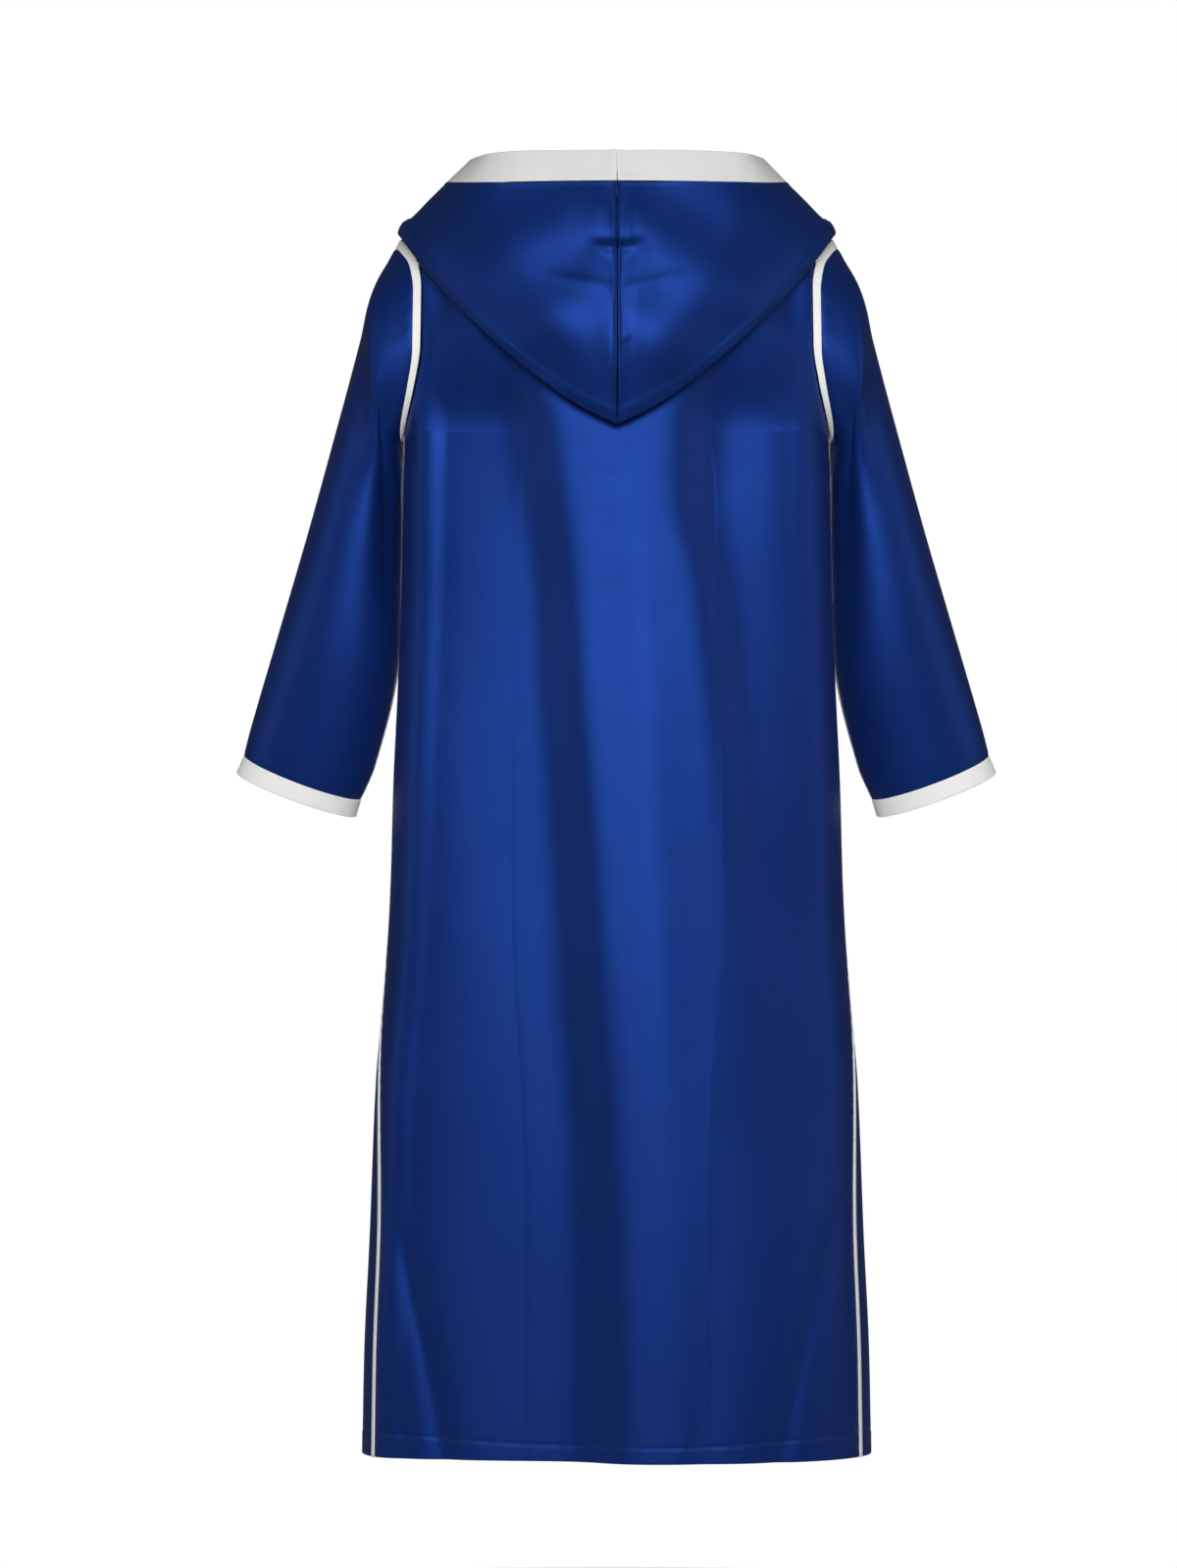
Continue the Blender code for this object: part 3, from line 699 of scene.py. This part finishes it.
def bead_row(name, lines, stuff, pitch=STITCH, along=STITCH * 0.8, across=THREAD, high=THREAD):
    """One piece of beads along each of the lines, given as points and the direction across them."""
    places, sideways, edges = [], [], []
    for points, across_line in lines:
        first = len(places)
        places += list(points)
        sideways += list(across_line)
        edges += [(first + i, first + i + 1) for i in range(len(points) - 1)]
    data = bpy.data.meshes.new(name + "_line")
    data.from_pydata([tuple(map(float, p)) for p in places], edges, [])
    stored = data.attributes.new("across", "FLOAT_VECTOR", "POINT")
    stored.data.foreach_set("vector", np.ravel(sideways).astype(np.float32))
    guide = bpy.data.objects.new(name + "_line", data)
    bpy.context.scene.collection.objects.link(guide)
    modifier = guide.modifiers.new("row", "NODES")
    modifier.node_group = ROW
    values = {"Pitch": pitch, "Along": along, "Across": across, "High": high, "Material": stuff}
    for item in ROW.interface.items_tree:
        if item.in_out == "INPUT" and item.name in values:
            modifier[item.identifier] = values[item.name]
    graph = bpy.context.evaluated_depsgraph_get()
    graph.update()
    mesh = bpy.data.meshes.new_from_object(guide.evaluated_get(graph))
    mesh.name = name
    mesh.shade_smooth()
    guide.modifiers.clear()
    bpy.data.objects.remove(guide)
    piece = bpy.data.objects.new(name, mesh)
    bpy.context.scene.collection.objects.link(piece)
    return piece


def line_across(outer, normals, distance):
    """A line across a grid, `distance` above its first row, and the direction across the line."""
    v = run(outer, 0)
    distance = np.broadcast_to(distance, outer.shape[1:2])
    points, ups = [], []
    for i, wanted in enumerate(distance):
        points.append([np.interp(wanted, v[:, i], outer[:, i, k]) for k in range(3)])
        ups.append([np.interp(wanted, v[:, i], normals[:, i, k]) for k in range(3)])
    points, ups = np.array(points), unit(np.array(ups))
    return points + ups * THREAD_LIFT, unit(np.cross(np.gradient(points, axis=0), ups))


def line_along(points, ups, lift):
    """The line through a column of a grid, and the direction across the line."""
    line = points + ups * lift
    return line, unit(np.cross(np.gradient(line, axis=0), ups))


# --- back and front ------------------------------------------------------------------------------
def panel(side):
    """The back (-1) or front (1): its outer face, the normals there and how high its hem is stitched."""
    corner = neck_share(side)
    neck = np.linspace(0, corner, 27)[:-1]
    rest = corner + (1 - corner) * near_edge(46)
    half = np.concatenate((neck, rest))
    tops = panel_top(side, half)
    hem_rows = TORSO["height"][0] + np.concatenate(([0, 0.0008], np.linspace(0.0025, 0.036, 18)))
    long_rows = np.linspace(hem_rows[-1], ARMPIT, 160)[1:]
    climb = (1 - np.cos(np.pi * np.arange(1, 45) / 44)) / 2
    low = np.concatenate((hem_rows, long_rows))
    z = np.concatenate((np.repeat(low[:, None], len(half), 1), ARMPIT + (tops - ARMPIT) * climb[:, None]))
    angle = panel_angle(side, half[None] + 0 * z, z)
    right = torso(angle, z)
    left = torso(-angle, z)[:, :0:-1]
    outer = np.concatenate((left, right), 1)
    normals = grid_normals(outer, flip=-side)
    from_hem, across = run(outer, 0), run(outer, 1)
    from_side = np.minimum(across, run(outer[:, ::-1], 1)[:, ::-1])
    hem_share = (np.abs(outer[:, :, 0]) / read(TORSO, "half_width", outer[:, :, 2]))[0]
    hem_line = HEM_STITCHING + HEM_RISE * ease((hem_share - 0.25) / 0.65)
    stitched = -0.0006 * bell(from_hem - hem_line, 0.0016)
    turned_up = 0.0004 * ease((hem_line - from_hem) / 0.002) * ease(from_hem / 0.001)
    rolled = -0.0010 * bell(from_side, 0.0024)
    pucker = np.sin(from_hem * 2 * math.pi / SEAM_PITCH + 1.7 * np.sin(from_hem * 23))
    pucker = SEAM_PUCKER * pucker * bell(from_side - 0.006, 0.008)
    ripple = np.sin(across * 2 * math.pi / HEM_PITCH + 2.2 * np.sin(outer[:, :, 0] * 27))
    ripple = HEM_RIPPLE * ripple * bell(from_hem - hem_line, 0.010)
    relief = stitched + turned_up + rolled + pucker + ripple
    outer = outer + normals * relief[..., None]
    return outer, grid_normals(outer, flip=-side), hem_line


back, back_normals, back_hem = panel(-1)
front, front_normals, front_hem = panel(1)
back_piece = sew("back_panel_cloth", back, back_normals, BLUE_SATIN)
front_piece = sew("front_panel_cloth", front, front_normals, BLUE_SATIN)


# --- sleeves -------------------------------------------------------------------------------------
TURNS = np.linspace(0, 360, 97)[:-1]
LAST_RING = 7


def armhole_edge():
    """The body's edge at the right armhole: 0 is the shoulder, 90 the back, 180 the armpit."""
    ones = np.ones(1)
    tops = {side: float(panel_top(side, ones)[0]) for side in (-1, 1)}
    points = []
    for turn in TURNS:
        side = -1 if turn <= 180 else 1
        z = ARMPIT + (tops[side] - ARMPIT) * (1 + math.cos(math.radians(turn))) / 2
        z = np.array([max(z, ARMPIT + 1e-9)])
        angle = armhole_angle(z)
        points.append(torso(angle if side < 0 else 180 - angle, z)[0])
    return np.array(points)


def sleeve_ring(ring):
    """A ring of the sleeve, leaning forward with its axis."""
    sizes = {name: float(read(SLEEVE, name, np.array(ring))) for name in SLEEVE if name != "ring"}
    near = {name: float(read(SLEEVE, name, np.array(max(ring - 0.5, 0)))) for name in sizes}
    ahead = {name: float(read(SLEEVE, name, np.array(min(ring + 0.5, LAST_RING)))) for name in sizes}
    drop = math.hypot(ahead["outer_x"] - near["outer_x"], ahead["outer_z"] - near["outer_z"])
    lean = (ahead["forward"] - near["forward"]) / drop
    outer = np.array((sizes["outer_x"], 0, sizes["outer_z"]))
    inner = np.array((sizes["inner_x"], 0, sizes["inner_z"]))
    across = (outer - inner) / 2
    down = unit(np.cross(across, (0, 1, 0)))
    down = down if down[2] < 0 else -down
    deep = unit(np.array((0, -1, 0)) + lean * down) * sizes["half_depth"]
    turn = np.radians(TURNS)[:, None]
    centre = (outer + inner) / 2 + np.array((0, sizes["forward"], 0))
    return centre + across * np.cos(turn) + deep * np.sin(turn)


def through(points, position):
    """A smooth curve through a list of points or rows; `position` counts them from 0."""
    i = min(max(int(position), 0), len(points) - 2)
    u = position - i
    a, b = points[i], points[i + 1]
    before = points[i - 1] if i else a
    after = points[i + 2] if i + 2 < len(points) else b
    near = length(b - a)
    leave = (b - before) * near / (near + length(a - before) + 1e-9)
    arrive = (after - a) * near / (near + length(after - b) + 1e-9)
    blend = u * u * (3 - 2 * u)
    return a * (1 - blend) + b * blend + leave * u * (1 - u) ** 2 - arrive * u * u * (1 - u)


def turned_in(distance, depth):
    """The cloth rolls in to a seam."""
    return -depth * bell(distance, TURN_IN)


def sleeve_grids():
    """The right sleeve with its two bands, each ring starting at the shoulder."""
    edge = armhole_edge()
    outward = unit(sleeve_ring(0) - edge)
    clear = np.array((2 * GAP, 0, 0))
    band = np.stack([edge + clear + outward * ARMHOLE_BAND * share for share in (0, 0.12, 0.5, 0.88, 1)])
    start = edge + clear + outward * (ARMHOLE_BAND + 2 * GAP)
    rings = [start] + [sleeve_ring(ring) for ring in range(LAST_RING)]
    to_cuff = LAST_RING - np.array((0.22, 0.12, 0.06, 0.025, 0.008))
    steps = np.concatenate(([0, 0.03, 0.08, 0.16], np.linspace(0.28, LAST_RING - 0.35, 96), to_cuff))
    sleeve = np.stack([through(rings, step) for step in steps])
    sink = 0.0
    for rows in SLEEVE_FOLDS:
        turn, reach, depth = (read(rows, column, steps)[:, None] for column in ("turn", "reach", "sink"))
        sink = sink + depth * bell((TURNS[None] - turn + 180) % 360 - 180, reach)
    down, around = run(sleeve, 0), run(sleeve, 1)
    pucker = np.sin(around * 2 * math.pi / ARMHOLE_PITCH + 2 * np.sin(around * 31))
    pucker = ARMHOLE_PUCKER * pucker * bell(down - 0.006, 0.009)
    relief = -sink + turned_in(down, 0.0010) + turned_in(down[-1:] - down, 0.0008) + pucker
    sleeve = sleeve + tube_normals(sleeve) * relief[..., None]
    cuff_rings = [sleeve_ring(LAST_RING - 1), sleeve_ring(LAST_RING)]
    cuff = np.stack([through(cuff_rings, step) for step in (0, 0.04, 0.12, 0.3, 0.5, 0.7, 0.88, 0.96, 1)])
    return band, sleeve, cuff


def for_hand(points, hand):
    return points * np.array((hand, 1, 1))


def side_tape(hand):
    """The tape caught in the side seam: its outer face and the normals there."""
    z = np.linspace(TORSO["height"][0], ARMPIT - SIDE_PIPING / 2, 220)
    seam = read(TORSO, "seam_angle", z)
    half = SIDE_PIPING / 2 / pace(seam, z)
    grid = np.stack([torso(seam + half * share, z) for share in (-1, -0.8, -0.4, 0, 0.4, 0.8, 1)], 1)
    normals = grid_normals(grid)
    normals = normals * np.sign(np.sum(normals[:, :, 0]))
    grid = grid + normals * (PIPING_STAND + np.array(PIPING_CROWN))[None, :, None]
    return for_hand(grid, hand), for_hand(normals, hand)


band_grid, sleeve_grid, cuff_grid = sleeve_grids()


# --- hood ----------------------------------------------------------------------------------------
def full_depth(side, x, z):
    across = np.maximum(0.0, 1 - np.abs(x / read(TORSO, "half_width", z)) ** ROUNDNESS) ** (1 / ROUNDNESS)
    return np.where(side < 0, read(TORSO, "back", z), read(TORSO, "front", z)) * across


def neck_edge(stations):
    """The robe's neck edge, from the middle of the back (0) round to the V (1)."""
    turn = np.radians(90 * np.minimum(1, stations / NECK_BACK_SHARE))
    x = NECK_HALF_WIDTH * np.sin(turn)
    y = -NECK_BACK_DEPTH * np.cos(turn)
    fall = np.sqrt(np.maximum(0.0, 1 - (y / full_depth(-1, x, 0 * x)) ** 2))
    behind = np.stack((x, y, shoulder_height(x) - SHOULDER_ROUND * (1 - fall)), -1)
    down = (stations - NECK_BACK_SHARE) / (1 - NECK_BACK_SHARE)
    x = NECK_HALF_WIDTH * (1 - down * down)
    z = neck_front_height(x)
    before = np.stack((x, full_depth(1, x, z) * shoulder_rounding(x, z), z), -1)
    return np.where((stations <= NECK_BACK_SHARE)[:, None], behind, before)


def clear_of_torso(points):
    """The points, moved straight out of the robe's body where they lie too close to it."""
    x, y, z = np.moveaxis(points, -1, 0)
    base = shoulder_height(x) - SHOULDER_ROUND
    rise = np.maximum(0.0, z - base) / (SHOULDER_ROUND + HOOD_CLEARANCE)
    closeness = np.minimum(1.0, np.hypot(y / (full_depth(y, x, z) + HOOD_CLEARANCE), rise))
    moved = np.stack((x, y / closeness, np.where(rise > 0, base + (z - base) / closeness, z)), -1)
    return np.where((closeness < 1)[:, None], moved, points)


def hood_controls(stations):
    """Control points of the hood's sections: neck, crest, lower layer, fold, upper layer, rim."""
    crest, fold, rim = (
        np.stack([read(HOOD, f"{line}_{axis}", stations) for axis in "xyz"], -1)
        for line in ("crest", "fold", "rim")
    )
    neck = neck_edge(stations)
    neck = neck + unit(neck - SHOULDERS_MIDDLE) * NECK_STAND
    neck[:, 0] = np.maximum(neck[:, 0], GAP / 2 + V_STAND * ease((stations - 0.8) / 0.2))
    middle = (fold + rim) / 2
    out = middle - SHOULDERS_MIDDLE
    out[stations == 0] *= np.array((0, 1, 1))
    out = unit(out)
    billow = read(HOOD, "billow", stations)[:, None] * out
    crest, fold = clear_of_torso(crest), clear_of_torso(fold)
    under = [clear_of_torso(crest + (fold - crest) * share) for share in UNDER_SHARES]
    band_seam = rim + unit(middle + billow - rim) * HOOD_BAND
    upper = [fold + (band_seam - fold) * share + billow * swell for share, swell in UPPER_SWELL]
    turn = HOOD_FOLD_RADIUS * ease((length(rim - fold) - 0.04) / 0.06)
    before = clear_of_torso(fold + unit(under[-1] - fold) * turn * 1.6)
    after = fold + unit(upper[0] - fold) * turn * 1.6 + out * turn * 0.6
    return [neck, crest, *under, before, fold, after, *upper, band_seam, rim]


def hood_relief(points, hand, upper):
    """The upper layer beside the middle seam: the seam, its pressed allowance, tucks, dents and soft waves."""
    x, z = points[..., 0], points[..., 2]
    seam = -0.0014 * bell(x, 0.0016)
    if hand > 0:
        allowance = 0.0010 * ease(x / 0.003) * ease((0.021 - x) / 0.009)
    else:
        allowance = 0.0006 * bell(x - 0.004, 0.003)
    tuck = -0.0046 * bell(z + 0.078 - 0.25 * x, 0.0055) * ease((0.040 - x) / 0.036)
    above = 0.0026 * bell(z + 0.064 + 0.2 * x, 0.009) * ease((0.046 - x) / 0.030)
    soft = 0.0016 * np.sin(34 * x + 58 * z + hand) * ease(x / 0.05)
    soft = soft + 0.0010 * np.sin(71 * x - 39 * z) * ease(x / 0.03)
    soft = soft * ease((0.185 - x) / 0.060)
    second = -0.0018 * bell(z + 0.122 - 0.22 * x, 0.006) * bell(x - 0.038, 0.028)
    third = -0.0014 * bell(z + 0.176 - 0.4 * x, 0.004) * ease((0.020 - x) / 0.012) * (hand > 0)
    dent = -0.0026 * bell(x - 0.017, 0.010) * bell(z + 0.034, 0.022)
    wave = 0.0008 * np.sin(z * 92 + 0.6 * hand) * bell(x, 0.006)
    return (seam + allowance + tuck + above + soft + second + third + dent + wave) * upper


def band_relief(band, hand, from_seam):
    """The band of the rim: its middle seam, the line it is stitched along and a slack wave beside the seam."""
    x = band[..., 0]
    wave = 0.0011 * bell(x - 0.014, 0.006) - 0.0008 * bell(x - 0.005, 0.005)
    wave = wave + 0.0006 * np.sin(x * 61 + 1.3 * hand)
    seam = -0.0005 * bell(x, 0.0012)
    line = -0.0004 * bell(run(band, 0) - BAND_STITCHING, 0.0012)
    return wave * ease(from_seam / 0.3)[:, None] + seam + line


def off_middle(grid):
    """The grid of the right half, held on its own side of the middle seam."""
    return np.concatenate((np.maximum(grid[..., :1], GAP / 2), grid[..., 1:]), -1)


def hood_half(hand):
    """The outer faces of the hood's half and its band, both on the right; `hand` sets their small folds."""
    columns = np.linspace(0, 1, 84) ** 1.35
    stations = np.concatenate(([0, 0.0025, 0.006], 0.012 + (1 - 0.012) * columns))
    controls = hood_controls(stations)
    seam = len(controls) - 2
    parts = ((0, 2, 12), (2, 7, 26), (7, 9, 26))
    steps = [np.linspace(start, end, count)[:-1] for start, end, count in parts]
    to_seam = seam - np.array((0.10, 0.06, 0.035, 0.02))
    steps = np.concatenate((*steps, np.linspace(9, seam - 0.16, 64), to_seam))
    grid = off_middle(np.stack([through(controls, step) for step in steps]))
    upper = ease((steps - 8.2) / 1.2)[:, None]
    v = run(grid, 0)
    from_fold = v - v[np.argmin(np.abs(steps - HOOD_FOLD_STEP))][None]
    pressed = -0.0009 * bell(from_fold - 0.014, 0.0028) * ease(from_fold / 0.008)
    relief = hood_relief(grid, hand, upper) + pressed + turned_in(v[-1:] - v, 0.0006)
    grid = off_middle(grid - grid_normals(grid) * relief[..., None])
    from_seam = np.array((0, 0.03, 0.08, 0.16, 0.28, 0.40, 0.52, 0.64, 0.76, 0.86, 0.94, 0.98, 1.0))
    band = off_middle(np.stack([through(controls, step) for step in seam + from_seam]))
    band = off_middle(band - grid_normals(band) * band_relief(band, hand, from_seam)[..., None])
    return grid, band


# --- the trimmed sides and the hem ---------------------------------------------------------------
for hand, name in ((1, "right"), (-1, "left")):
    pieces = {}
    for part, grid, stuff in (
        # the armhole and cuff bands take the ivory lightened with painted light
        ("armhole_band", band_grid, IVORY_CUFF_PAINTED_LIGHT),
        ("sleeve", sleeve_grid, BLUE_SATIN),
        ("cuff_band", cuff_grid, IVORY_CUFF_PAINTED_LIGHT),
    ):
        grid = for_hand(grid, hand)
        pieces[part] = sew(f"{part}_{name}_cloth", grid, tube_normals(grid), stuff, closed=True)
    tape, tape_up = side_tape(hand)
    tape_piece = sew(f"side_piping_{name}_tape", tape, tape_up, IVORY_TAPE)
    spine = line_along(tape[:, 3], tape_up[:, 3], 0)
    rib = (RIB, 0.0016, SIDE_PIPING * 0.96, 0.0007)
    trim(bead_row(f"side_piping_{name}_ribs", [spine], IVORY_TAPE, *rib))
    hood, band = (for_hand(grid, hand) for grid in hood_half(hand))
    hood_up, band_up = grid_normals(hood, flip=-hand), grid_normals(band, flip=-hand)
    pieces["hood"] = sew(f"hood_{name}_cloth", hood, hood_up, BLUE_SATIN)
    # the hood band takes the ivory darkened with painted shade
    pieces["hood_band"] = sew(f"hood_band_{name}_cloth", band, band_up, IVORY_BAND_PAINTED_SHADE)
    lower_row = line_across(band, band_up, BAND_STITCHING)
    sewn_on = [bead_row(f"hood_band_{name}_stitches", [lower_row], IVORY_THREAD)]
    if hand > 0:
        middle = line_along(band[1:-1, 1], band_up[1:-1, 1], THREAD_LIFT)
        sewn_on.append(bead_row("hood_band_middle_stitches", [middle], NAVY_THREAD, 0.0045, 0.0026))
    for stitches in sewn_on:
        trim(stitches)
    cut_sheet(pieces["sleeve"], f"sleeve_{name}")
    cut_sheet(pieces["cuff_band"], f"cuff_band_{name}")
    cut_sheet(pieces["armhole_band"], f"armhole_band_{name}")
    trim(tape_piece, f"side_piping_{name}")
    cut_sheet(pieces["hood"], f"hood_{name}")
    cut_sheet(pieces["hood_band"], f"hood_band_{name}")

hem_lines = [line_across(back, back_normals, back_hem), line_across(front, front_normals, front_hem)]
hem_stitches = bead_row("hem_stitches", hem_lines, BLUE_THREAD)
trim(hem_stitches)
cut_sheet(back_piece, "back_panel")
cut_sheet(front_piece, "front_panel")


# --- floor, light and camera ---------------------------------------------------------------------
def floor_finish(start):
    cloud = noise(start.node("ShaderNodeTexCoord", out="Object"), 3.0, 3.0)
    paint = mixed(cloud, (0.80, 0.80, 0.79, 1), (0.86, 0.86, 0.85, 1))
    return {"Base Color": paint, "Roughness": cloud * 0.1 + 0.6}


FLOOR_HEIGHT = -1.625
bpy.ops.mesh.primitive_circle_add(vertices=96, radius=1.0, fill_type="NGON", location=(0, 0, FLOOR_HEIGHT))
floor = bpy.context.object
floor.name = "pale_floor"
floor.data.materials.append(material("pale_floor", floor_finish))


def softbox(name, place, target, size, power, spread=180):
    """A soft lamp at `place` that faces `target`: metres, watts, and degrees for the spread."""
    lamp = bpy.data.lights.new(name, "AREA")
    lamp.shape = "RECTANGLE"
    lamp.size, lamp.size_y = size
    lamp.energy = power
    lamp.spread = math.radians(spread)
    light = bpy.data.objects.new(name, lamp)
    light.location = place
    light.rotation_mode = "QUATERNION"
    light.rotation_quaternion = (Vector(target) - Vector(place)).to_track_quat("-Z", "Y")
    light.visible_camera = False
    bpy.context.scene.collection.objects.link(light)


softbox("key_softbox", (0.02, -3.0, 0.34), (0, 0, -0.58), (1.7, 0.5), 22, 84)
softbox("front_softbox", (0.0, 2.8, -0.55), (0, 0, -0.7), (1.4, 1.0), 45)
softbox("left_softbox", (-2.6, -0.6, -0.3), (0, 0, -0.6), (0.8, 1.8), 9)
softbox("right_softbox", (2.6, -0.6, -0.3), (0, 0, -0.6), (0.8, 1.8), 11)

ROOM_LIGHT = 0.08  # on the robe, in a room that looks white
world = bpy.data.worlds.new("studio")
bpy.context.scene.world = world
world.use_nodes = True
seen = Wire(world.node_tree).node("ShaderNodeLightPath", out="Is Camera Ray")
background = world.node_tree.nodes["Background"]
background.inputs["Color"].default_value = (1.0, 1.0, 1.0, 1.0)
strength = seen * (1 - ROOM_LIGHT) + ROOM_LIGHT
world.node_tree.links.new(strength.socket, background.inputs["Strength"])

CAMERA_DISTANCE = 8.0
VIEW_HEIGHT = 1.727  # of what the frame holds at the robe
SENSOR = 36.0  # millimetres
camera_data = bpy.data.cameras.new("camera")
camera_data.sensor_width = SENSOR
camera_data.lens = SENSOR * CAMERA_DISTANCE / VIEW_HEIGHT
camera = bpy.data.objects.new("camera", camera_data)
camera.location = (-0.031, -CAMERA_DISTANCE, -0.655)
camera.rotation_euler = (math.pi / 2, 0, 0)
bpy.context.scene.collection.objects.link(camera)
bpy.context.scene.camera = camera
bpy.context.scene.view_settings.view_transform = "Standard"
